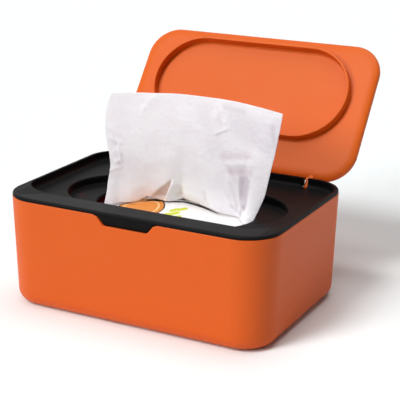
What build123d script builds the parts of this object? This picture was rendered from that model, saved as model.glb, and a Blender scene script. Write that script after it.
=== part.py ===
from build123d import *
from math import cos, exp, pi, sin, sqrt
import os

os.makedirs("parts", exist_ok=True)

# Baby wipes box: an orange tub, a black inner cover set into its mouth, an orange lid hinged
# to the back of that cover, and a packet of wipes inside with one wipe pulled up.
# Millimetres, +Z up, the box centred over the origin with its front along -Y.

# Tub
tub_length = 190.0
tub_depth = 133.6
tub_height = 73.1
tub_corner = 23.4
tub_draft = 2.3  # how far each wall leans in from the mouth to the floor
tub_wall = 1.6
tub_floor = 2.2
tub_foot_round = 9.0
tub_mouth_round = 0.6

# Inner cover
rim_gap = 0.2  # shadow line between the tub's mouth and the rim
rim_thickness = 2.0
rim_inset = 0.2
rim_round = 1.2
skirt_gap = 0.25
skirt_wall = 1.1
skirt_reach = 9.3  # how deep the skirt goes below the rim
cover_wall = 1.6
pocket_depth = 6.3
pocket_corner = 16.0
pocket_floor_round = 2.8
ledge_width = 21.8  # finger ledge in front of the lid
ledge_drop = 2.3
ledge_fade = 20.0  # the ledge's dip runs out over this length at each end
recess_length = 154.0
recess_width = 71.8
recess_depth = 5.9
opening_length = 112.6
opening_width = 56.0
opening_y = -1.6

# Grip tab at the front of the cover, and the notch in the tub round it
tab_top = 40.5
tab_bottom = 29.5
tab_corner = 2.6
tab_reach = 6.0
tab_undercut = 1.4
tab_thickness = 1.5
tab_gap = 0.8
notch_edge_round = 0.5
notch_shoulder = 2.4

# Lid, made closed and then turned open
lid_gap = 0.35
lid_front_gap = 0.7
lid_floor_gap = 0.3
lid_height = 5.9
lid_corner = 22.0
lid_wall = 2.1
lid_border = 7.0  # how far in the lid's underside is rounded
lid_border_rise = 3.0
lid_top_round = 1.4
lid_open = 127.4  # degrees from closed to the stop
rib_gap = 0.7
rib_wall = 1.8
rib_floor_gap = 0.25

# Hinges
hinge_span = 0.68 * tub_length  # between the middles of the two hinge blocks
hinge_block = 16.0
hinge_back = 0.0  # axis in front of the tub's rear outline
hinge_drop = 7.1  # axis below the top of the rim
boss_radius = 2.6
pin_radius = 1.0
pin_length = 14.0
pin_fit = 0.05
arm_width = 2.9
arm_radius = 2.2
arm_bore_gap = 0.12
arm_side_gap = 0.2
pin_window = 1.8  # niche beside each arm where the pin shows
slot_floor_gap = 0.3
slot_front = 4.2  # how far the slot runs ahead of the pocket's rear wall
swing_gap = 0.5
stop_gap = 0.05
notch_gap = 0.3

# Wipes
packet_end_room = 12.0
packet_side_room = 12.0
packet_head_room = 4.5
packet_film = 0.8
packet_corner = 26.0
packet_seal = 7.0
seal_inset = 27.0  # from the packet's side to the end of its seal
slit_x = -8.0
slit_length = 62.0
slit_width = 8.0
rest_gap = 0.3
stack_end_gap = 12.0
stack_side_gap = 11.0
stack_head_gap = 4.0
stack_corner = 8.0
stack_round = 3.0
wipe_y = 20.0  # where the pulled wipe leaves the packet
wipe_height = 78.5  # above the packet
wipe_thickness = 1.2
wipe_bottom_width = 104.0
wipe_top_width = 126.0
wipe_tongue = 24.0
wipe_set_back = 15.0  # its sides come forward of the slit by this
wipe_lean = 5.0
wipe_arch = 12.5  # how far its foot bows back
wipe_lift = 0.9  # its sides above the packet
wipe_tent = 4.0  # its middle above its sides at the foot
wipe_fold = 3.5
wipe_wave = 1.4

# Levels and places that follow from the sizes above
rim_low = tub_height + rim_gap
rim_top = rim_low + rim_thickness
skirt_low = rim_low - skirt_reach
floor_top = rim_top - pocket_depth
floor_low = floor_top - cover_wall
recess_floor = floor_top - recess_depth
recess_low = recess_floor - cover_wall
ledge_low = rim_top - ledge_drop
skirt_inset = tub_wall + skirt_gap
pocket_inset = skirt_inset + skirt_wall
pocket_front = -tub_depth / 2 + ledge_width
pocket_rear = tub_depth / 2 - pocket_inset
axis_y = tub_depth / 2 - hinge_back
axis_z = rim_top - hinge_drop
lid_low = floor_top + lid_floor_gap
lid_front = pocket_front + lid_front_gap
lid_edge = lid_low + lid_border_rise
swing = sqrt((axis_y - pocket_rear) ** 2 + hinge_drop ** 2) + swing_gap
lid_rear = axis_y - sqrt(swing ** 2 - (lid_edge - axis_z) ** 2)
lid_length = tub_length - 2 * (pocket_inset + lid_gap)
lid_depth = lid_rear - lid_front
lid_y = (lid_rear + lid_front) / 2
lid_top = lid_low + lid_height
slot_floor = axis_z - arm_radius - slot_floor_gap
slot_front_y = pocket_rear - slot_front
packet_low = tub_floor + rest_gap
packet_top = recess_low - packet_head_room
packet_length = tub_length - 2 * (tub_wall + packet_end_room)
packet_depth = tub_depth - 2 * (tub_wall + packet_side_room)
stack_low = packet_low + packet_film + rest_gap
stack_top = packet_top - packet_film - stack_head_gap


def tub_outline(inset, z):
    """The tub's plan outline at a height, moved inwards by inset."""
    step = inset + tub_draft * (1 - z / tub_height)
    return Pos(0, 0, z) * RectangleRounded(
        tub_length - 2 * step, tub_depth - 2 * step, tub_corner - step)


def leaning(inset, low, high):
    return loft([tub_outline(inset, low), tub_outline(inset, high)], ruled=True)


def upright(inset, low, high):
    plan = RectangleRounded(tub_length - 2 * inset, tub_depth - 2 * inset, tub_corner - inset)
    return extrude(Pos(0, 0, low) * plan, high - low)


def block(x0, x1, y0, y1, z0, z1):
    return Pos((x0 + x1) / 2, (y0 + y1) / 2, (z0 + z1) / 2) * Box(x1 - x0, y1 - y0, z1 - z0)


def side_profile(points, width):
    """A prism across X from points given as (y, z)."""
    face = make_face(Polyline([(0, y, z) for y, z in points], close=True))
    return extrude(face, width / 2, dir=(1, 0, 0), both=True)


def edges_at(shape, z, reach_x, reach_y, y=0.0):
    """Level edges at height z whose middles lie within a box round (0, y)."""
    found = []
    for edge in shape.edges():
        box, mid = edge.bounding_box(), edge.position_at(0.5)
        level = abs(box.min.Z - z) < 0.01 and abs(box.max.Z - z) < 0.01
        if level and abs(mid.X) < reach_x and abs(mid.Y - y) < reach_y:
            found.append(edge)
    return found


def tab_plan(grow):
    """The tab's front view, grown on its sides and foot."""
    top, foot = tab_top / 2 + grow, tab_bottom / 2 + grow
    low, high = rim_low - tab_reach - grow, rim_low + 0.3
    rise = (top - foot) / (tab_reach + grow) * 0.3
    face = make_face(Polyline([(-top - rise, 0, high), (-foot, 0, low), (foot, 0, low),
                               (top + rise, 0, high)], close=True))
    return fillet(face.vertices().group_by(Axis.Z)[0], tab_corner + grow)


def notch_tool():
    """The notch in the tub's front, its shoulders rounded over where it meets the mouth."""
    tool = extrude(Pos(0, -tub_depth / 2 - 2, 0) * tab_plan(tab_gap),
                   tub_wall + tub_draft + 4, dir=(0, 1, 0))
    slope = (tab_top - tab_bottom) / 2 / (tab_reach + tab_gap)
    half = tab_top / 2 + tab_gap - slope * (rim_low - tub_height)
    for side in (-1, 1):
        corner = [(half - 0.55 * notch_shoulder * slope, tub_height - 0.55 * notch_shoulder),
                  (half + notch_shoulder, tub_height), (half - 1, tub_height + 1),
                  (half - 2, tub_height - 0.55 * notch_shoulder)]
        face = make_face(Polyline([(side * x, 0, z) for x, z in corner], close=True))
        tool += extrude(Pos(0, -tub_depth / 2 - 2, 0) * face, tub_wall + tub_draft + 4,
                        dir=(0, 1, 0))
    return tool


def notch_edges(tub):
    """The edges of the notch on the tub's outer face."""
    found = []
    for edge in tub.edges():
        mid, box = edge.position_at(0.5), edge.bounding_box()
        outer = box.max.Y < -tub_depth / 2 + tub_mouth_round + 0.1
        if outer and mid.Z > tub_height / 2 and abs(mid.X) < tab_top / 2 + 2 * notch_shoulder:
            found.append(edge)
    return found


def make_tub():
    outer = leaning(0, 0, tub_height)
    outer = fillet(outer.edges().group_by(Axis.Z)[0], tub_foot_round)
    inner = leaning(tub_wall, tub_floor, tub_height + 1)
    inner = fillet(inner.edges().group_by(Axis.Z)[0], tub_foot_round - tub_wall)
    tub = outer - inner
    tub = fillet(tub.edges().group_by(Axis.Z)[-1], tub_mouth_round)
    tub -= notch_tool()
    tub = fillet(notch_edges(tub), notch_edge_round)
    for side in (-1, 1):
        x = side * hinge_span / 2
        half = hinge_block / 2 + notch_gap
        tub -= block(x - half, x + half, tub_depth / 2 - tub_wall - tub_draft, tub_depth / 2 + 5,
                     skirt_low - notch_gap, tub_height + 1)
    return tub


def pocket_tool():
    """The space for the lid, its floor running into its walls in a soft curve."""
    depth = pocket_rear - pocket_front + 40
    plan = Pos(0, pocket_front + depth / 2, floor_top) * RectangleRounded(
        tub_length - 2 * pocket_inset, depth, pocket_corner)
    tool = extrude(plan, pocket_depth + 1) & upright(pocket_inset, floor_top, rim_top + 1)
    return fillet(tool.edges().group_by(Axis.Z)[0], pocket_floor_round)


def ledge_tool():
    """The finger ledge's dip: it deepens towards the lid and runs out at both ends."""
    front = -tub_depth / 2 + pocket_inset
    back = pocket_front + pocket_corner
    slope = ledge_drop / ledge_width
    ramp = side_profile([(back, rim_top - slope * (back - front)), (front, rim_top),
                         (front, rim_top + 1), (back, rim_top + 1)], tub_length)
    wide = tub_length / 2 - pocket_inset - 5
    deep = 2 * ledge_drop
    narrow = wide - ledge_fade * deep / ledge_drop
    across = make_face(Polyline([(-wide, 0, rim_top), (-narrow, 0, rim_top - deep),
                                 (narrow, 0, rim_top - deep), (wide, 0, rim_top),
                                 (wide, 0, rim_top + 1), (-wide, 0, rim_top + 1)], close=True))
    return ramp & extrude(across, tub_depth, both=True) & upright(pocket_inset, skirt_low, rim_top + 1)


def cover_body():
    rim = upright(rim_inset, rim_low, rim_top)
    rim = fillet(rim.edges().group_by(Axis.Z)[-1], rim_round)
    body = leaning(skirt_inset, skirt_low, rim_low) + rim
    body -= pocket_tool()
    body -= ledge_tool()
    body -= leaning(pocket_inset, skirt_low - 1, floor_low)
    front = -tub_depth / 2 + pocket_inset
    wall_y = pocket_front - cover_wall
    under = side_profile([(wall_y, floor_low - 1), (wall_y, ledge_low - cover_wall),
                          (front, rim_top - cover_wall), (front - 5, rim_top - cover_wall),
                          (front - 5, floor_low - 1)], tub_length)
    return body - (under & leaning(pocket_inset, floor_low - 1, rim_low))


def cut_recess(body):
    """The stadium recess in the pocket's floor, with the opening for the wipes."""
    at = Pos(0, opening_y, recess_low)
    body += extrude(at * SlotOverall(recess_length + 2 * cover_wall,
                                     recess_width + 2 * cover_wall), floor_low - recess_low + 0.2)
    body -= extrude(Pos(0, opening_y, recess_floor) * SlotOverall(recess_length, recess_width),
                    recess_depth + 1)
    reach = (recess_length / 2 + 1, recess_width / 2 + 1)
    body = fillet(edges_at(body, floor_top, *reach, opening_y), 1.2)
    body = fillet(edges_at(body, recess_floor, *reach, opening_y), 1.5)
    body -= extrude(at * SlotOverall(opening_length, opening_width), cover_wall)
    reach = (opening_length / 2 + 1, opening_width / 2 + 1)
    return fillet(edges_at(body, recess_floor, *reach, opening_y), 0.7)


def add_tab(body):
    front = -tub_depth / 2 + rim_inset
    back = front + tab_undercut + tab_thickness
    high, low = rim_low + 0.3, rim_low - tab_reach
    wedge = side_profile([(front, high), (front, rim_low - 0.6), (front + tab_undercut, low),
                          (back, low), (back, high)], tab_top + 4)
    plan = extrude(Pos(0, front - 1, 0) * tab_plan(0), tab_undercut + tab_thickness + 4, dir=(0, 1, 0))
    return body + (wedge & plan)


def add_hinge_blocks(body):
    """Knuckles for the pins, each with a slot for the lid's arm and a niche beside it."""
    for side in (-1, 1):
        x = side * hinge_span / 2
        half = hinge_block / 2
        low_front = slot_front_y - cover_wall
        lug = block(x - half, x + half, low_front, axis_y, skirt_low, floor_low + 0.2)
        lug += block(x - half, x + half, pocket_rear, axis_y, skirt_low, rim_low + 0.2)
        lug += block(x - half, x + half, pocket_rear, axis_y + boss_radius, skirt_low, axis_z)
        lug += Pos(x, axis_y, axis_z) * Rot(0, 90, 0) * Cylinder(boss_radius, hinge_block)
        body += lug
        lane = arm_width / 2 + arm_side_gap
        body -= block(x - lane, x + lane, slot_front_y, tub_depth / 2 + 6, slot_floor, rim_top + 1)
        near, far = x - side * (lane - 0.1), x - side * (lane + pin_window)
        body -= block(min(near, far), max(near, far), pocket_rear - 2.4, axis_y,
                      slot_floor, axis_z + 3.2)
        body -= Pos(x, axis_y, axis_z) * Rot(0, 90, 0) * Cylinder(
            pin_radius + pin_fit, pin_length + 2 * pin_fit)
    return body


def make_pin(side):
    pin = Cylinder(pin_radius, pin_length)
    pin = chamfer(pin.edges().filter_by(GeomType.CIRCLE), 0.2)
    return Pos(side * hinge_span / 2, axis_y, axis_z) * Rot(0, 90, 0) * pin


def lid_section(inset, depth):
    """A level outline inside the lid, depth above its lower rim."""
    return Pos(0, lid_y, lid_low + depth) * RectangleRounded(
        lid_length - 2 * inset, lid_depth - 2 * inset, lid_corner - inset)


def lid_shell():
    """A tray-like plate: flat below, its border curving up to a raised edge."""
    shell = extrude(lid_section(0, lid_border_rise), lid_height - lid_border_rise)
    shell = fillet(shell.edges().group_by(Axis.Z)[-1], lid_top_round)
    steps = [(1 - cos(turn), 1 - sin(turn)) for turn in (0, 0.35, 0.7, 1.05, 1.35, pi / 2)]
    shell += loft([lid_section(lid_border * inset, lid_border_rise * depth)
                   for inset, depth in steps])
    deep = lid_height - lid_wall
    steps = [(11.0, 0), (8.6, 0.08 * deep), (6.2, 0.3 * deep), (4.4, 0.66 * deep), (3.4, deep + 0.5)]
    return shell - loft([lid_section(inset, lid_wall + rise) for inset, rise in steps])


def lid_rib():
    low = recess_floor + rib_floor_gap
    high = lid_low + 0.6 * lid_wall
    length, width = recess_length - 2 * rib_gap, recess_width - 2 * rib_gap
    ring = SlotOverall(length, width) - SlotOverall(length - 2 * rib_wall, width - 2 * rib_wall)
    ring = extrude(Pos(0, opening_y, low) * ring, high - low)
    return fillet(ring.edges().group_by(Axis.Z)[0], 0.35 * rib_wall)


def lid_arm(side):
    """One hinge arm with its round eye and the heel that stops the lid open."""
    y, z = axis_y, axis_z
    root = lid_rear - 4.5
    arm = side_profile([(root, lid_low + 1.2), (slot_front_y + 0.35, lid_low + 0.1),
                        (slot_front_y + 0.6, z - arm_radius + 0.1), (y - arm_radius, z - arm_radius),
                        (y, z - arm_radius), (y, z + arm_radius), (lid_rear + 1.2, lid_top - 2.2),
                        (lid_rear - 1.0, lid_top - 2.2)], arm_width)
    flat = arm_radius + slot_floor_gap - stop_gap
    heel = side_profile([(y, z), (y, z - flat), (y + 2.1, z - flat), (y + arm_radius, z)], arm_width)
    heel = heel.rotate(Axis((0, y, z), (1, 0, 0)), lid_open)
    eye = Pos(0, y, z) * Rot(0, 90, 0) * Cylinder(arm_radius, arm_width)
    bore = Pos(0, y, z) * Rot(0, 90, 0) * Cylinder(pin_radius + arm_bore_gap, arm_width + 1)
    return Pos(side * hinge_span / 2, 0, 0) * (arm + heel + eye - bore)


def make_lid():
    lid = lid_shell() + lid_rib() + lid_arm(-1) + lid_arm(1)
    return lid.rotate(Axis((0, axis_y, axis_z), (1, 0, 0)), -lid_open)


def pillow(inset):
    """The packet's form: a flat-topped cushion with drawn-in sides."""
    tall = packet_top - packet_low
    steps = [(0.17, 0.0), (0.038, 0.12), (0.0, 0.45), (0.028, 0.82), (0.094, 0.94), (0.24, 1.0)]
    rings = []
    for share, rise in steps:
        side = share * packet_depth / 2
        z = packet_low + inset + rise * (tall - 2 * inset)
        rings.append(Pos(0, 0, z) * RectangleRounded(
            packet_length - 2 * (side + inset), packet_depth - 2 * (side + inset),
            packet_corner - side))
    return loft(rings)


def make_packet():
    packet = pillow(0) - pillow(packet_film)
    mid = packet_low + 0.45 * (packet_top - packet_low)
    reach = packet_depth / 2 - seal_inset
    for side in (-1, 1):
        near = side * (packet_length / 2 - packet_film)
        far = side * (packet_length / 2 + packet_seal)
        packet += block(min(near, far), max(near, far), -reach, reach,
                        mid - 0.6 * packet_film, mid + 0.6 * packet_film)
    slit = Pos(slit_x, wipe_y, packet_top - 2 * packet_film) * SlotOverall(slit_length, slit_width)
    return packet - extrude(slit, 3 * packet_film)


def make_stack():
    plan = RectangleRounded(packet_length - 2 * (packet_film + stack_end_gap),
                            packet_depth - 2 * (packet_film + stack_side_gap), stack_corner)
    stack = extrude(Pos(0, 0, stack_low) * plan, stack_top - stack_low)
    return fillet(stack.edges().group_by(Axis.Z)[-1] + stack.edges().group_by(Axis.Z)[0], stack_round)


def wipe_point(across, up):
    """A point of the pulled wipe, across and up each from 0 to 1."""
    left = -wipe_bottom_width / 2 * (1 + 0.058 * up)
    right = left + wipe_bottom_width + (wipe_top_width - wipe_bottom_width) * (1 - (1 - up) ** 1.6)
    bow = sin(pi * across)
    low = packet_top + wipe_lift + wipe_tent * bow ** 0.7
    high = packet_top + wipe_height * (1 - 0.057 * (1 - bow))
    fold = exp(-((across - 0.8) / 0.06) ** 2) * exp(-((up - 0.25) / 0.22) ** 2)
    pleat = exp(-((across - 0.4) / 0.07) ** 2) * exp(-(up / 0.2) ** 2)
    ripple = wipe_wave * sin(2 * pi * (2.3 * across + 0.3)) * (0.25 + up)
    foot = (0.16 + exp(-up / 0.25)) * bow
    y = wipe_y - wipe_set_back + wipe_lean * up + wipe_arch * foot
    y += ripple - wipe_fold * (fold + pleat)
    return Vector(left + (right - left) * across, y, low + (high - low) * up)


def make_wipe():
    grid = [[wipe_point(i / 20, j / 14) for j in range(15)] for i in range(21)]
    face = Face.make_surface_from_array_of_points(grid)
    sheet = thicken(face, wipe_thickness / 2, both=True)
    foot = wipe_point(0.5, 0.03)
    tongue = block(foot.X - wipe_tongue / 2, foot.X + wipe_tongue / 2,
                   wipe_y - 1.3 * wipe_thickness, wipe_y + 1.3 * wipe_thickness,
                   stack_top + rest_gap, foot.Z + 0.8 * wipe_thickness)
    return sheet + tongue


parts = {
    "tub": make_tub(),
    "inner_cover": add_hinge_blocks(add_tab(cut_recess(cover_body()))),
    "hinge_pin_left": make_pin(-1),
    "hinge_pin_right": make_pin(1),
    "lid": make_lid(),
    "wipes_packet": make_packet(),
    "wipes_stack": make_stack(),
    "wipe": make_wipe(),
}

for node, shape in parts.items():
    export_step(shape, f"parts/{node}.step")
print("hinge axis", round(axis_y, 2), round(axis_z, 2), "closed lid rear edge", round(lid_rear, 2))
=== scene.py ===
import bpy
import math
import numpy as np
from mathutils import Matrix, Vector, noise


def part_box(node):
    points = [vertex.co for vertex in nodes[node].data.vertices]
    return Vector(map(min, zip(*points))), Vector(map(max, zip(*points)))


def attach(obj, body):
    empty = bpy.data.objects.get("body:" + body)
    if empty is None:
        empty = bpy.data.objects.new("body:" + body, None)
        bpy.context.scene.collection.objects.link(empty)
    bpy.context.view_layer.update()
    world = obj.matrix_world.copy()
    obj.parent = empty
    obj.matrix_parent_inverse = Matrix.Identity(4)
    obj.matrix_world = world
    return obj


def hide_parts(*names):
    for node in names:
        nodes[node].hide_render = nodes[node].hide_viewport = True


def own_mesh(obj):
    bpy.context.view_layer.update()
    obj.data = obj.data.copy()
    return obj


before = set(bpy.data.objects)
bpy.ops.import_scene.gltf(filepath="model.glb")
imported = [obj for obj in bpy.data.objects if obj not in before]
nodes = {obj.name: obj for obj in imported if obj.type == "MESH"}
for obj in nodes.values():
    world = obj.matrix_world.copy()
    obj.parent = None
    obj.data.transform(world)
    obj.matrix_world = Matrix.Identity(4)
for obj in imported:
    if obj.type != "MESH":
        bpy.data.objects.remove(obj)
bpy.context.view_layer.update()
mm = 0.001
print("frame loaded:", len(nodes), "nodes")


def linear(r, g, b):  # a colour given in 0 to 255, as the shader wants it
    return [(c / 255 / 12.92 if c < 10 else ((c / 255 + 0.055) / 1.055) ** 2.4) for c in (r, g, b)] + [1.0]


def newMaterial(name, color, roughness, **more):  # more: other inputs by name, with _ for a space
    mat = bpy.data.materials.new(name)
    mat.use_nodes = True
    shader = mat.node_tree.nodes["Principled BSDF"]
    shader.inputs["Base Color"].default_value = color
    shader.inputs["Roughness"].default_value = roughness
    for key, value in more.items():
        shader.inputs[key.replace("_", " ")].default_value = value
    return mat, mat.node_tree, shader


def addNode(tree, kind, inputs=None, **props):  # an input that is a socket is linked, any other is set
    node = tree.nodes.new(kind)
    for key, value in props.items():
        setattr(node, key, value)
    for key, value in (inputs or {}).items():
        if isinstance(value, bpy.types.NodeSocket):
            tree.links.new(value, node.inputs[key])
        else:
            node.inputs[key].default_value = value
    return node


def objectPlace(tree):
    return addNode(tree, "ShaderNodeTexCoord").outputs["Object"]


def addNoise(tree, place, scale, detail=2.0, roughness=0.5):
    return addNode(tree, "ShaderNodeTexNoise",
                   {"Vector": place, "Scale": scale, "Detail": detail, "Roughness": roughness})


def addBump(tree, shader, height, strength, distance):
    bump = addNode(tree, "ShaderNodeBump", {"Height": height, "Strength": strength, "Distance": distance})
    tree.links.new(bump.outputs["Normal"], shader.inputs["Normal"])


def ramp(tree, factor, stops):
    node = addNode(tree, "ShaderNodeValToRGB", {"Fac": factor})
    marks = node.color_ramp.elements
    while len(marks) < len(stops):
        marks.new(0.5)
    for mark, (place, color) in zip(marks, stops):
        mark.position = place
        mark.color = color
    return node.outputs["Color"]


def calculate(tree, a, b, operation):
    return addNode(tree, "ShaderNodeMath", {0: a, 1: b}, operation=operation).outputs["Value"]


def calculateVector(tree, a, b, operation):
    return addNode(tree, "ShaderNodeVectorMath", {0: a, 1: b}, operation=operation).outputs["Vector"]


def lengthOf(tree, vector):
    return addNode(tree, "ShaderNodeVectorMath", {0: vector}, operation="LENGTH").outputs["Value"]


def letLightIn(shader, piece):  # how much, how deep in metres, and how far for red, green and blue
    shader.inputs["Subsurface Weight"].default_value = piece["letIn"]
    shader.inputs["Subsurface Scale"].default_value = piece["letInDepth"]
    shader.inputs["Subsurface Radius"].default_value = piece["letInByColor"]


def dress(name, mat):
    data = nodes[name].data
    data.materials.clear()
    data.materials.append(mat)


def addMesh(name, verts, faces):  # verts in millimetres
    data = bpy.data.meshes.new(name)
    data.from_pydata([(x * mm, y * mm, z * mm) for x, y, z in verts], [], faces)
    data.polygons.foreach_set("use_smooth", [True] * len(faces))
    obj = bpy.data.objects.new(name, data)
    bpy.context.scene.collection.objects.link(obj)
    return obj


def ripple(x, y, seed, finer):  # three octaves of noise, each finer than the last
    return noise.fractal(Vector((x, y, seed)), 0.9, finer, 3)


# Moulded plastic: a satin skin with a very fine grain. A little light goes into the tub's wall.
tub = {"color": (218, 93, 22), "roughness": 0.5, "uneven": 0.04, "grain": 0.5, "shine": 0.27,
       "letIn": 0.12, "letInDepth": 0.003, "letInByColor": (1.0, 0.3, 0.12)}
lid = {"color": (212, 92, 12), "roughness": 0.5, "uneven": 0.04, "grain": 0.5, "shine": 0.27}
cover = {"color": (12, 12, 13), "roughness": 0.52, "uneven": 0.05, "grain": 0.6, "shine": 0.07}
skin = {"grainScale": 1400.0, "grainDepth": 0.00004, "unevenScale": 14.0}


def makePlastic(name, piece):
    mat, tree, shader = newMaterial(name, linear(*piece["color"]), piece["roughness"],
                                    Specular_IOR_Level=piece["shine"])
    if "letIn" in piece:
        letLightIn(shader, piece)
    place = objectPlace(tree)
    fine = addNoise(tree, place, skin["grainScale"], 3.0)
    broad = addNoise(tree, place, skin["unevenScale"], 4.0)
    low, high = piece["roughness"] - piece["uneven"], piece["roughness"] + piece["uneven"]
    rough = ramp(tree, broad.outputs["Fac"], [(0.3, (low, low, low, 1)), (0.7, (high, high, high, 1))])
    tree.links.new(rough, shader.inputs["Roughness"])
    addBump(tree, shader, fine.outputs["Fac"], piece["grain"], skin["grainDepth"])
    return mat


dress("tub", makePlastic("tubPlastic", tub))
dress("lid", makePlastic("lidPlastic", lid))
dress("inner_cover", makePlastic("coverPlastic", cover))

# The hinge pins: drawn steel with fine scratches
pins = {"color": (236, 236, 238), "roughness": 0.3, "metal": 0.7,
        "scratchScale": 900.0, "scratches": 0.2, "scratchDepth": 0.00002}


def makeSteel():
    mat, tree, shader = newMaterial("pinSteel", linear(*pins["color"]), pins["roughness"],
                                    Metallic=pins["metal"])
    scratch = addNoise(tree, objectPlace(tree), pins["scratchScale"])
    addBump(tree, shader, scratch.outputs["Fac"], pins["scratches"], pins["scratchDepth"])
    return mat


steel = makeSteel()
for pin in ("hinge_pin_left", "hinge_pin_right"):
    dress(pin, steel)
print("plastic and steel done")

# The pulled wipe, in millimetres. In depth the foot's shape fades over footReach, a share of the height.
# The folds are held back to settleLeast at the foot and grow over settleUp. Crumples: height, scale, seed.
wipe = {"columns": 250, "rows": 180, "thickness": 0.35,
        "footReach": 0.25, "settleUp": 0.05, "settleLeast": 0.1,
        "crumples": [(0.25, 0.055, 3.1), (0.12, 0.3, 11.3)],
        "color": (254, 251, 255), "roughness": 0.85, "sheen": 0.15,
        "letIn": 0.2, "letInDepth": 0.004, "letInByColor": (1.0, 0.85, 0.8),
        "fibreScale": 1500.0, "patchScale": 330.0, "relief": 0.7, "reliefDepth": 0.0004,
        "cloudScale": 75.0, "cloudTint": (0.955, 0.94, 0.955, 1)}

# Its border, as points (x, y, z)
topEdge = [(-55.2, 9.5, 131.4), (-46.1, 10.6, 132.6), (-37.4, 11.4, 133.3), (-21.0, 12.2, 134.6),
           (-4.9, 12.8, 135.7), (14.9, 12.8, 135.9), (34.0, 12.2, 135.6), (52.0, 11.2, 134.0),
           (69.8, 10.0, 131.9)]
leftEdge = [(-52.2, -6.9, 57.9), (-52.6, -3.6, 62.9), (-53.0, -1.5, 66.5), (-53.8, 1.6, 73.3),
            (-53.4, 3.6, 80.9), (-54.6, 4.8, 89.5), (-56.6, 5.6, 96.1), (-58.7, 6.8, 106.0),
            (-58.9, 8.4, 120.8), (-55.2, 9.5, 131.4)]
rightEdge = [(53.2, 5.8, 58.0), (54.3, 6.4, 62.4), (55.7, 6.7, 65.5), (57.8, 6.9, 70.6), (60.5, 7.2, 78.2),
             (63.1, 7.8, 91.8), (65.9, 8.4, 105.2), (67.9, 9.2, 118.3), (69.8, 10.0, 131.9)]
lowEdge = [(-52.2, -6.9, 57.9), (-50.3, -4.8, 57.9), (-48.5, -2.7, 58.0), (-45.8, 0.8, 58.1),
           (-42.5, 3.2, 58.3), (-38.9, 5.1, 58.6), (-36.7, 6.5, 58.9), (-34.3, 8.0, 59.4),
           (-31.9, 9.3, 60.5), (-29.5, 10.4, 61.6), (-26.8, 11.2, 62.3), (-24.1, 11.9, 61.8),
           (-21.1, 12.3, 61.3), (-18.2, 12.6, 60.9), (-14.3, 12.5, 60.9), (-11.4, 14.1, 61.2),
           (-8.6, 16.1, 62.0), (-5.1, 18.1, 62.8), (-1.8, 17.7, 62.2), (2.5, 16.8, 61.8), (6.5, 16.3, 61.5),
           (10.6, 15.8, 61.1), (15.5, 15.1, 60.2), (19.5, 14.6, 59.5), (23.4, 14.2, 59.0),
           (27.8, 14.8, 58.2), (32.0, 15.6, 57.6), (36.0, 15.8, 57.3), (38.4, 15.6, 57.1),
           (41.9, 11.0, 57.0), (45.5, 6.4, 57.0), (49.5, 5.0, 57.2), (53.2, 5.8, 58.0)]


def alongCurve(points, count):  # evenly spaced points of a smooth curve through the given ones
    pts = np.array([points[0]] + list(points) + [points[-1]], float)
    steps = np.linspace(0, 1, 24, endpoint=False)  # between two given points
    fine = []
    for a, b, c, d in zip(pts, pts[1:], pts[2:], pts[3:]):
        for t in steps:
            fine.append(0.5 * (2 * b + (c - a) * t + (2 * a - 5 * b + 4 * c - d) * t * t
                               + (3 * b - a - 3 * c + d) * t ** 3))
    fine = np.array(fine + [pts[-1]])
    length = np.concatenate([[0], np.cumsum(np.linalg.norm(np.diff(fine, axis=0), axis=1))])
    want = np.linspace(0, length[-1], count)
    return np.stack([np.interp(want, length, fine[:, k]) for k in range(3)], axis=1)


# Its folds: from (x, z) to (x, z), reach to the left (below, if level) and to the right (above, if level),
# height towards the viewer, sharpness
folds = [((49.0, 94), (48.4, 60), 2.2, 8, 1.1, 1.5), ((40.6, 88), (40.9, 58), 6, 1.2, 1.1, 1.5),
         ((33, 94), (50, 96), 1.4, 4, 0.6, 1.4), ((34, 86), (46, 87.5), 3, 1.4, 0.4, 1.4),
         ((37, 96), (49, 98), 2.0, 1.4, 0.35, 1.5), ((27, 98), (48, 102), 4, 4, 0.4, 1.6),
         ((23, 113), (31, 117), 1.0, 3.4, 0.62, 1.3), ((25.6, 129), (22, 123.5), 1.6, 2.8, 0.32, 1.5),
         ((22.5, 123.5), (29, 121), 1.6, 3, 0.28, 1.5), ((32, 134), (30.6, 120), 5, 2.0, 0.3, 1.5),
         ((-22, 133), (-31, 125), 1.4, 5, 0.4, 1.4), ((-31, 125), (-32.4, 119), 1.3, 4, 0.3, 1.4),
         ((-29, 86), (-9, 90.5), 2.2, 7, 0.35, 1.6), ((-52, 100), (-47, 98), 2.4, 2, 0.3, 1.6),
         ((-51, 93), (-46, 92), 1.4, 2.0, 0.45, 1.5), ((-50, 85), (-46, 87), 1.4, 1.8, 0.4, 1.5),
         ((3, 110), (5, 86), 6, 8, -0.4, 2), ((57, 122), (60, 100), 6, 6, 0.5, 2),
         ((-56, 108), (-49, 104), 1.0, 2.2, 0.35, 1.4), ((-55, 101), (-50, 99), 0.9, 2.0, 0.4, 1.4),
         ((-53, 79), (-47, 82), 0.9, 2.0, 0.35, 1.4), ((-48, 96), (-46.5, 84), 1.4, 1.4, 0.35, 1.5),
         ((-38, 76), (-34, 68), 2.0, 3.0, 0.35, 1.5), ((30, 74), (33, 65), 1.2, 2.0, 0.4, 1.4),
         ((36, 74), (37.5, 64), 0.9, 1.4, 0.45, 1.4), ((-5.5, 66), (-3.5, 72), 2, 2.4, -0.7, 1.6),
         ((14, 66), (14.6, 72), 1.8, 2.2, -0.5, 1.6)]

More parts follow.
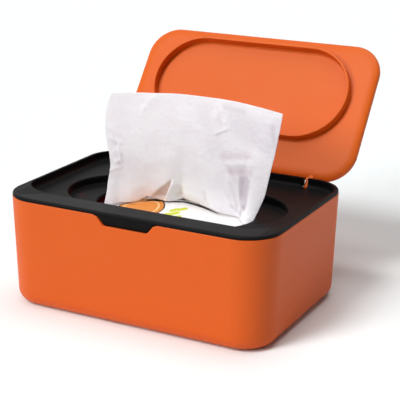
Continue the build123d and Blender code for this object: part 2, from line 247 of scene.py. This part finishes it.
# The pleat at the foot: two lines run down from its apex, and the sheet slopes back from the left one and
# comes forward again at the right one, with a ridge along it. Its tint is painted shade on the face that
# slopes back.
pleat = {"apex": (-9.4, 78.2), "foot": (-27.2, 62.4), "ridgeFoot": (-17.0, 61.0), "bow": 0.9, "runOn": 1.3,
         "depth": 4.2, "lip": 1.4, "deepens": 1.6, "narrowest": 0.4,
         "ridge": 1.0, "ridgeAway": 1.8, "ridgeReach": (1.2, 3.4), "ridgeGrows": 2.5,
         "tint": (0.72, 0.63, 0.55), "tintRunOn": 1.2, "tintGrows": 6}


def smooth(t):
    t = np.clip(t, 0, 1)
    return t * t * (3 - 2 * t)


def foldHeight(x, z):
    total = np.zeros_like(x)
    for (x0, z0), (x1, z1), leftReach, rightReach, height, sharp in folds:
        length = math.hypot(x1 - x0, z1 - z0)
        ax, az = (x1 - x0) / length, (z1 - z0) / length
        flip = -1 if az > 0.5 or (abs(az) <= 0.5 and ax < 0) else 1
        side = ((z - z0) * ax - (x - x0) * az) * flip
        t = ((x - x0) * ax + (z - z0) * az) / length
        reach = np.where(side > 0, rightReach, leftReach)
        # full from 0.1 of its length inside each end, and gone 0.4 of it beyond the end
        total += height * smooth(np.minimum(t, 1 - t) / 0.5 + 0.8) * np.exp(-np.abs(side / reach) ** sharp)
    return total


def pleatLines(z, runOn):  # the share of the way down from the apex, up to runOn, and both lines' x there
    (apexX, apexZ), (footX, footZ), (ridgeX, ridgeZ) = pleat["apex"], pleat["foot"], pleat["ridgeFoot"]
    down = np.clip((apexZ - z) / (apexZ - footZ), 0, runOn)
    left = apexX + (footX - apexX) * down ** pleat["bow"]
    right = apexX + (ridgeX - apexX) * np.clip((apexZ - z) / (apexZ - ridgeZ), 0, runOn)
    return down, left, right


def pleatHeight(x, z):
    down, left, right = pleatLines(z, pleat["runOn"])
    share = (x - left) / np.maximum(right - left, pleat["narrowest"])
    drop = np.clip(share, 0, 1) ** 0.8 * smooth((right + pleat["lip"] - x) / pleat["lip"])
    drop *= smooth(down * pleat["deepens"])
    crest = right + pleat["ridgeAway"]
    ridge = np.exp(-np.abs((x - crest) / np.where(x < crest, *pleat["ridgeReach"])) ** 1.5)
    ridge *= smooth(down * pleat["ridgeGrows"])
    return np.where(z < pleat["apex"][1], pleat["ridge"] * ridge - pleat["depth"] * drop, 0.0)


# Painted shade on the sheet where its folds, grooves and creases turn from the light, in the gaps under its
# foot and over its right part, and a tiny dark dot: from (x, z) to (x, z), half width at each end, softness
# and tint
paintedShade = [((35, 89.2), (48.5, 91), 2.6, 2.4, 3.6, (0.80, 0.74, 0.77)),
        ((45.6, 85), (44.6, 67.5), 3.5, 2.6, 3.0, (0.66, 0.62, 0.65)),
        ((43.6, 66), (40.6, 60.0), 2.0, 1.2, 2.6, (0.70, 0.68, 0.69)),
        ((41.0, 84), (41.2, 59), 0.3, 0.3, 1.2, (0.84, 0.82, 0.84)),
        ((29, 99.5), (47, 101.5), 2.4, 2.4, 6.0, (0.85, 0.81, 0.83)),
        ((23.8, 112.4), (31.0, 116.4), 0.4, 0.4, 1.5, (0.80, 0.77, 0.80)),
        ((40, 121), (64, 116), 8, 12, 12.0, (0.88, 0.87, 0.89)),
        ((16, 95), (60, 95), 18, 30, 14.0, (0.975, 0.97, 0.975)),
        ((-25.9, 119.3), (-25.8, 119.2), 0.15, 0.15, 1.0, (0.72, 0.70, 0.74)),
        ((-28, 84), (-22, 83), 1.5, 1.5, 4.0, (0.97, 0.95, 0.96)),
        ((-4.8, 67.5), (-4.4, 71), 1.4, 1.2, 3.2, (0.88, 0.84, 0.80)),
        ((14.2, 66.5), (14.3, 72), 1.3, 1.3, 2.4, (0.91, 0.86, 0.85)),
        ((-36, 59.5), (-15, 62), 0.6, 1.6, 2.4, (0.97, 0.90, 0.82)),
        ((-6, 65.5), (16, 63), 2.6, 1.4, 5.0, (0.88, 0.83, 0.78)),
        ((14, 122), (24, 104), 6, 7, 10.0, (0.95, 0.945, 0.95)),
        ((-52, 98), (-47, 84), 1.5, 1.5, 5.0, (0.94, 0.925, 0.94)),
        ((-50, 105), (-44, 101), 0.6, 0.6, 3.0, (0.95, 0.93, 0.95)),
        ((-47, 93), (-44, 90), 0.5, 0.5, 2.6, (0.94, 0.92, 0.94)),
        ((34, 82), (38, 66), 1.6, 1.4, 3.0, (0.90, 0.87, 0.88)),
        ((26, 118), (24, 127), 1.5, 2.0, 5.0, (0.95, 0.93, 0.95)),
        ((33, 92), (38, 84), 1.5, 1.5, 4.0, (0.90, 0.87, 0.89)),
        ((29, 131), (42, 130), 1.5, 1.5, 5.0, (0.87, 0.86, 0.88)),
        ((63, 123), (65.5, 112), 1.2, 1.2, 4.0, (0.86, 0.85, 0.87)),
        ((34, 65), (39.5, 61.5), 1.2, 1.2, 3.0, (0.84, 0.82, 0.83)),
        ((-4.5, 62.8), (8, 61.4), 1.0, 0.8, 1.0, (0.42, 0.33, 0.25)),
        ((8, 61.4), (22, 59.3), 0.8, 0.3, 1.0, (0.50, 0.42, 0.34)),
        ((-33, 60.3), (-28.5, 62.1), 0.3, 0.8, 0.9, (0.50, 0.40, 0.30)),
        ((-28.5, 62.1), (-21, 61.4), 0.8, 0.3, 0.9, (0.50, 0.40, 0.30)),
        ((-53, 104), (-50, 97), 0.4, 0.6, 2.0, (0.93, 0.915, 0.93)),
        ((-49, 89), (-47, 84), 0.6, 0.4, 2.0, (0.93, 0.915, 0.93)),
        ((24, 126), (27, 120), 0.5, 0.5, 2.2, (0.92, 0.90, 0.915))]


def paintedShadeTint(x, z):
    tint = np.ones(x.shape + (4,))
    for (x0, z0), (x1, z1), startHalf, endHalf, soft, color in paintedShade:
        dx, dz = x1 - x0, z1 - z0
        t = np.clip(((x - x0) * dx + (z - z0) * dz) / (dx * dx + dz * dz), 0, 1)
        away = np.hypot(x - x0 - t * dx, z - z0 - t * dz) - (startHalf + (endHalf - startHalf) * t)
        share = smooth(0.5 - away / soft)[..., None]
        tint[..., :3] *= 1 + share * (np.array(color) - 1)
    # painted shade on the pleat's face that slopes back
    down, left, right = pleatLines(z, pleat["tintRunOn"])
    inside = smooth((x - left) / 2.0 + 0.2) * smooth((right + 0.6 - x) / 0.8)  # soft at both lines
    inside *= smooth(down * pleat["tintGrows"])
    tint[..., :3] *= 1 + inside[..., None] * (np.array(pleat["tint"]) - 1)
    return tint


def crumpleAt(x, z, scale, seed):
    return np.array([[ripple(a * scale, b * scale, seed, 2.1) for a, b in zip(rowX, rowZ)]
                     for rowX, rowZ in zip(x, z)])


def wipePoints():
    columns, rows = wipe["columns"], wipe["rows"]
    low, top = alongCurve(lowEdge, columns), alongCurve(topEdge, columns)
    left, right = alongCurve(leftEdge, rows), alongCurve(rightEdge, rows)
    u = np.linspace(0, 1, columns)[:, None, None]
    v = np.linspace(0, 1, rows)[None, :, None]
    least = math.exp(-1 / wipe["footReach"])
    fade = (np.exp(-v / wipe["footReach"]) - least) / (1 - least)
    near = np.concatenate([1 - v, fade, 1 - v], axis=2)  # how much the foot's shape counts in x, y and z
    lowShape = low[:, None] - (1 - u) * low[0] - u * low[-1]
    topShape = top[:, None] - (1 - u) * top[0] - u * top[-1]
    grid = (1 - u) * left[None] + u * right[None] + near * lowShape + v * topShape
    x, z = grid[:, :, 0], grid[:, :, 2]
    settle = np.clip((v[:, :, 0] + 0 * x) / wipe["settleUp"], wipe["settleLeast"], 1)
    push = (foldHeight(x, z) + pleatHeight(x, z)) * settle
    for height, scale, seed in wipe["crumples"]:
        push += height * crumpleAt(x, z, scale, seed) * settle
    tint = paintedShadeTint(x, z)
    grid[:, :, 1] -= push
    return grid, tint


def makeWipe():
    columns, rows = wipe["columns"], wipe["rows"]
    grid, tint = wipePoints()
    faces = [(i * rows + j, (i + 1) * rows + j, (i + 1) * rows + j + 1, i * rows + j + 1)
             for i in range(columns - 1) for j in range(rows - 1)]
    obj = addMesh("pulledWipe", grid.reshape(-1, 3).tolist(), faces)
    # the painted shade of folds, creases and gaps, kept on the points
    shade = obj.data.color_attributes.new("paintedShade", "FLOAT_COLOR", "POINT")
    shade.data.foreach_set("color", tint.reshape(-1))
    shell = obj.modifiers.new("cloth", "SOLIDIFY")
    shell.thickness = wipe["thickness"] * mm
    shell.offset = 0
    return obj


def makeNonwoven():
    color = linear(*wipe["color"])
    mat, tree, shader = newMaterial("nonwoven", color, wipe["roughness"], Sheen_Weight=wipe["sheen"])
    letLightIn(shader, wipe)
    place = objectPlace(tree)
    fibre = addNoise(tree, place, wipe["fibreScale"], 5.0, 0.7)
    patches = addNoise(tree, place, wipe["patchScale"], 3.0, 0.6)
    relief = calculate(tree, fibre.outputs["Fac"], patches.outputs["Fac"], "ADD")
    addBump(tree, shader, relief, wipe["relief"], wipe["reliefDepth"])
    # the painted shade of folds, creases and gaps, read from the points
    paintedShadeColor = addNode(tree, "ShaderNodeAttribute", attribute_name="paintedShade").outputs["Color"]
    clouds = addNoise(tree, place, wipe["cloudScale"], 5.0, 0.65)
    cloudy = ramp(tree, clouds.outputs["Fac"], [(0.34, wipe["cloudTint"]), (0.58, (1, 1, 1, 1))])
    tinted = calculateVector(tree, paintedShadeColor, color[:3], "MULTIPLY")
    clouded = calculateVector(tree, tinted, cloudy, "MULTIPLY")
    tree.links.new(clouded, shader.inputs["Base Color"])
    return mat


wipeObj = makeWipe()
wipeObj.data.materials.append(makeNonwoven())
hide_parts("wipe")
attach(wipeObj, "tub")
print("wipe done")

# The packet, in millimetres: a softly creased pillow of film with a slit and crimped seals. The slit has
# its start and end along x, then its front and rear edge behind the wipe's foot, and a taper at each end.
packetLow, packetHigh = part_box("wipes_packet")
packet = {"halfLength": 81.0, "halfDepth": 52.8, "squareness": 5, "dome": 5, "fullness": 3.2,
          "rings": 130, "ringSpread": 0.75, "spokes": 360,
          "top": packetHigh.z / mm, "low": packetLow.z / mm, "topGap": 0.4, "lowGap": 0.2, "seamAt": 0.45,
          "puckers": 23, "pucker": 3.4, "creases": 0.35, "creaseScale": (0.045, 0.06), "bendShare": 0.6,
          "sag": 0.3, "swell": 3.6, "swellAt": (-10.0, 15.0), "swellReach": (31, 20),
          "slit": (-33.0, 26.0, 0.4, 4.6), "slitTaper": (6, 14),
          "sealStart": 80.4, "sealEnd": packetHigh.x / mm, "sealHalf": 26.0,
          "sealSteps": 40, "sealColumns": 26, "crimp": 0.22, "crimpPitch": 1.4, "flatSteps": 8}
seam = packet["low"] + packet["seamAt"] * (packet["top"] - packet["low"])
wipeFoot = alongCurve(lowEdge, 200)


def packetPoint(share, angle, side):  # share 0 in the middle and 1 at the seam, side 1 above and -1 below
    c, s = math.cos(angle), math.sin(angle)
    square = packet["squareness"]
    radius = (abs(c) ** square + abs(s) ** square) ** (-1 / square)
    x, y = packet["halfLength"] * share * radius * c, packet["halfDepth"] * share * radius * s
    tall = packet["top"] - packet["topGap"] - seam if side > 0 else seam - packet["low"] - packet["lowGap"]
    z = seam + side * tall * (1 - share ** packet["dome"]) ** (1 / packet["fullness"])
    edge = share ** 3 * (1 - share)  # the puckers stand between the middle and the seam, nearer the seam
    bend = math.sin(angle * packet["puckers"] + 1.3 * math.sin(angle * 5)) * packet["pucker"] * edge
    alongX, alongY = packet["creaseScale"]
    crease = ripple(x * alongX, y * alongY, side * 5.0, 2.0)
    bend += packet["creases"] * crease * (0.4 + share)  # creases deepen outwards
    bend *= packet["bendShare"]
    if side < 0:
        return (x, y, max(z - bend, packet["low"]))
    (midX, midY), (reachX, reachY) = packet["swellAt"], packet["swellReach"]
    swell = packet["swell"] * math.exp(-abs((x - midX) / reachX) ** 3.2 - ((y - midY) / reachY) ** 2)
    return (x, y, min(z + bend - packet["sag"], packet["top"]) + swell)


def inSlit(x, y):  # the slit follows the wipe's foot and closes at both ends
    (start, end, front, rear), (startTaper, endTaper) = packet["slit"], packet["slitTaper"]
    if not start < x < end:
        return False
    behind = y - np.interp(x, wipeFoot[:, 0], wipeFoot[:, 1])
    return front < behind < front + (rear - front) * min(1, (x - start) / startTaper, (end - x) / endTaper)


def addPillow(verts, faces, side):
    base, rings, spokes = len(verts), packet["rings"], packet["spokes"]
    for i in range(rings + 1):
        share = (i / rings) ** packet["ringSpread"]
        verts += [packetPoint(share, 2 * math.pi * k / spokes, side) for k in range(spokes)]
    for i in range(rings):
        inner, outer = base + i * spokes, base + (i + 1) * spokes
        for k in range(spokes):
            after = (k + 1) % spokes
            quad = [inner + k, inner + after, outer + after, outer + k]
            mid = np.mean([verts[q] for q in quad], axis=0)
            if side > 0 and inSlit(mid[0], mid[1]):
                continue
            faces.append(quad[::-1] if side > 0 else quad)


def addSeal(verts, faces, end):  # the crimped seal of one end, flat and shorter than the packet is deep
    base, steps, wide = len(verts), packet["sealSteps"], packet["sealColumns"]
    for i in range(steps + 1):
        x = packet["sealStart"] + (packet["sealEnd"] - packet["sealStart"]) * i / steps
        ease = min(1, i / packet["flatSteps"])
        wave = packet["crimp"] * math.sin(x * 2 * math.pi / packet["crimpPitch"]) * ease
        verts += [(end * x, packet["sealHalf"] * (2 * k / wide - 1), seam + wave) for k in range(wide + 1)]
    for i in range(steps):
        for k in range(wide):
            corner = base + i * (wide + 1) + k
            quad = [corner, corner + wide + 1, corner + wide + 2, corner + 1]
            faces.append(quad if end > 0 else quad[::-1])


def makePacket():
    verts, faces = [], []
    for side in (1, -1):
        addPillow(verts, faces, side)
    for end in (-1, 1):
        addSeal(verts, faces, end)
    obj = addMesh("packetFilm", verts, faces)
    obj.data.validate()
    return obj


# Its film and print: plain round fruit at (x, y, radius), each painted in rings from its outline inwards,
# and leaves at (x, y, turn), on a white that varies a little
film = {"roughness": 0.34, "shine": 0.45, "coat": 0.15,
        "white": (252, 252, 251), "grayer": (247, 247, 247), "whiteScale": 6.0,
        "crinkleScale": 55.0, "crinkles": 0.35, "crinkleDepth": 0.0006}
printed = {"line": (45, 38, 40), "fruit": (226, 140, 50), "pith": (250, 205, 150), "leaf": (214, 222, 60),
           "rings": ((1.0, "line"), (0.94, "fruit"), (0.78, "pith"), (0.7, "fruit")),
           "leafRadius": 2.1, "leafStretch": (0.5, 1.0, 0), "wobble": 0.0018, "wobbleScale": 110.0}
fruits = [(-27, 1, 17.0), (-66, -24, 9.0), (58, 30, 8.5), (-62, 26, 9.5), (22, 38, 8.0), (-34, -38, 8.0),
          (44, -38, 8.5)]
leaves = [(-4.5, -3.5, -0.9), (-0.5, 0.0, -0.9), (-2.5, 4.5, -0.9), (1.5, 7.5, -0.9), (3.0, -4.5, -0.9),
          (-14, -36, 1.2), (-10, -38, 1.2), (66, -8, 0.2), (-74, 0, 2.0), (10, -40, 2.6), (-8, 40, 0.4),
          (-4, 43, 0.4), (-38, 34, 1.6)]


def paintOver(tree, under, where, color):
    mixed = addNode(tree, "ShaderNodeMix", data_type="RGBA")
    tree.links.new(where, mixed.inputs[0])
    tree.links.new(under, mixed.inputs[6])
    mixed.inputs[7].default_value = color
    return mixed.outputs[2]


def printedColor(tree, place):
    wobble = addNoise(tree, place, printed["wobbleScale"], 1.0)
    shift = addNode(tree, "ShaderNodeVectorMath", {0: wobble.outputs["Color"], 3: printed["wobble"]},
                    operation="SCALE").outputs["Vector"]
    drawn = calculateVector(tree, place, shift, "ADD")
    flat = calculateVector(tree, drawn, (1, 1, 0), "MULTIPLY")
    whites = addNoise(tree, place, film["whiteScale"])
    color = ramp(tree, whites.outputs["Fac"], [(0, linear(*film["white"])), (1, linear(*film["grayer"]))])
    for x, y, radius in fruits:
        away = lengthOf(tree, calculateVector(tree, flat, (x * mm, y * mm, 0), "SUBTRACT"))
        for share, paint in printed["rings"]:
            inside = calculate(tree, away, radius * share * mm, "LESS_THAN")
            color = paintOver(tree, color, inside, linear(*printed[paint]))
    for x, y, turn in leaves:
        moved = calculateVector(tree, flat, (x * mm, y * mm, 0), "SUBTRACT")
        turned = addNode(tree, "ShaderNodeVectorRotate", {"Vector": moved, "Angle": turn},
                         rotation_type="Z_AXIS").outputs["Vector"]
        away = lengthOf(tree, calculateVector(tree, turned, printed["leafStretch"], "MULTIPLY"))
        inside = calculate(tree, away, printed["leafRadius"] * mm, "LESS_THAN")
        color = paintOver(tree, color, inside, linear(*printed["leaf"]))
    return color


def makeFilm():
    mat, tree, shader = newMaterial("printedFilm", linear(*film["white"]), film["roughness"],
                                    Specular_IOR_Level=film["shine"], Coat_Weight=film["coat"])
    place = objectPlace(tree)
    tree.links.new(printedColor(tree, place), shader.inputs["Base Color"])
    crinkle = addNoise(tree, place, film["crinkleScale"], 4.0)
    addBump(tree, shader, crinkle.outputs["Fac"], film["crinkles"], film["crinkleDepth"])
    return mat


packetObj = makePacket()
packetObj.data.materials.append(makeFilm())
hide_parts("wipes_packet")
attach(packetObj, "tub")

# The folded wipes in the packet
stack = {"color": (247, 245, 246), "roughness": 0.85,
         "layerScale": 300.0, "layers": 0.5, "layerDepth": 0.0003}


def makeFoldedWipes():
    mat, tree, shader = newMaterial("foldedWipes", linear(*stack["color"]), stack["roughness"])
    layers = addNoise(tree, objectPlace(tree), stack["layerScale"])
    addBump(tree, shader, layers.outputs["Fac"], stack["layers"], stack["layerDepth"])
    return mat


dress("wipes_stack", makeFoldedWipes())
print("packet done")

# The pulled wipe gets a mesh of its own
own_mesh(wipeObj)

# Floor and background: near white to look at, and darker for the light that they give
ground = {"size": 30, "roughness": 0.9, "seen": (0.95, 0.985, 0.985, 1), "gives": (0.8, 0.8, 0.8, 1)}
background = {"seen": 1.0, "gives": 0.13}


def seenRay(tree):  # 1 for rays that show the background, straight or mirrored
    path = addNode(tree, "ShaderNodeLightPath")
    glossy, through = path.outputs["Is Glossy Ray"], path.outputs["Is Transmission Ray"]
    mirrored = calculate(tree, glossy, through, "MAXIMUM")
    return calculate(tree, path.outputs["Is Camera Ray"], mirrored, "MAXIMUM")


def makeFloor():
    bpy.ops.mesh.primitive_plane_add(size=ground["size"], location=(0, 0, 0))
    obj = bpy.context.object
    obj.name = "floor"
    mat, tree, shader = newMaterial("floorWhite", ground["seen"], ground["roughness"],
                                    Specular_IOR_Level=0.0)
    tint = addNode(tree, "ShaderNodeMix", data_type="RGBA", clamp_factor=True)
    tree.links.new(seenRay(tree), tint.inputs[0])
    tint.inputs[6].default_value = ground["gives"]
    tint.inputs[7].default_value = ground["seen"]
    tree.links.new(tint.outputs[2], shader.inputs["Base Color"])
    obj.data.materials.append(mat)
    return obj


def makeWorld():
    world = bpy.data.worlds.new("studio")
    bpy.context.scene.world = world
    world.use_nodes = True
    tree = world.node_tree
    tree.nodes.clear()
    seen = addNode(tree, "ShaderNodeBackground", {"Color": (1, 1, 1, 1), "Strength": background["seen"]})
    lit = addNode(tree, "ShaderNodeBackground", {"Color": (1, 1, 1, 1), "Strength": background["gives"]})
    pick = addNode(tree, "ShaderNodeMixShader", {0: seenRay(tree), 1: lit.outputs[0], 2: seen.outputs[0]})
    addNode(tree, "ShaderNodeOutputWorld", {"Surface": pick.outputs[0]})


floor = makeFloor()
makeWorld()

# Suns: strength, where the light comes from, and its width in degrees, which softens the shadows
suns = {"key": (1.56, (-0.26, -0.56, 0.79), 20.0),
        "low": (1.25, (-0.42, -0.80, 0.40), 20.0),
        "above": (1.16, (0.02, 0.13, 1.0), 38.0)}
# A very small lamp stands for the daylight that comes through the tub's orange wall
glow = {"power": 0.0014, "color": (1.0, 0.05, 0.05), "place": (-72.0, -4.0, 61.0), "radius": 4.0}


def addLamp(name, kind, power):
    data = bpy.data.lights.new(name, kind)
    data.energy = power
    obj = bpy.data.objects.new(name, data)
    bpy.context.scene.collection.objects.link(obj)
    return obj


for name, (strength, comesFrom, width) in suns.items():
    sun = addLamp(name, "SUN", strength)
    sun.data.angle = math.radians(width)
    sun.rotation_euler = Vector(comesFrom).to_track_quat("Z", "Y").to_euler()

glowLamp = addLamp("glow", "POINT", glow["power"])
glowLamp.data.color = glow["color"]
glowLamp.data.shadow_soft_size = glow["radius"] * mm
glowLamp.location = Vector(glow["place"]) * mm

# The camera, fitted to the photograph: turn, tilt and roll in degrees, place in millimetres
camera = {"turn": 27.514, "tilt": 17.645, "roll": 0.578, "place": (361.306, -660.494, 307.045),
          "lens": 107.973, "sensor": 36.0, "near": 0.01, "far": 50}


def makeCamera():
    turn, tilt, roll = (math.radians(camera[k]) for k in ("turn", "tilt", "roll"))
    back = Vector((math.sin(turn) * math.cos(tilt), -math.cos(turn) * math.cos(tilt), math.sin(tilt)))
    right = Vector((0, 0, 1)).cross(back).normalized()
    up = back.cross(right)
    rolledRight = math.cos(roll) * right + math.sin(roll) * up
    rolledUp = -math.sin(roll) * right + math.cos(roll) * up
    data = bpy.data.cameras.new("camera")
    data.lens = camera["lens"]
    data.sensor_width = camera["sensor"]
    data.clip_start, data.clip_end = camera["near"], camera["far"]
    obj = bpy.data.objects.new("camera", data)
    obj.matrix_world = Matrix((rolledRight, rolledUp, back)).transposed().to_4x4()
    obj.location = Vector(camera["place"]) * mm
    bpy.context.scene.collection.objects.link(obj)
    bpy.context.scene.camera = obj


makeCamera()
bpy.context.scene.view_settings.view_transform = "Standard"
print("light and camera done")
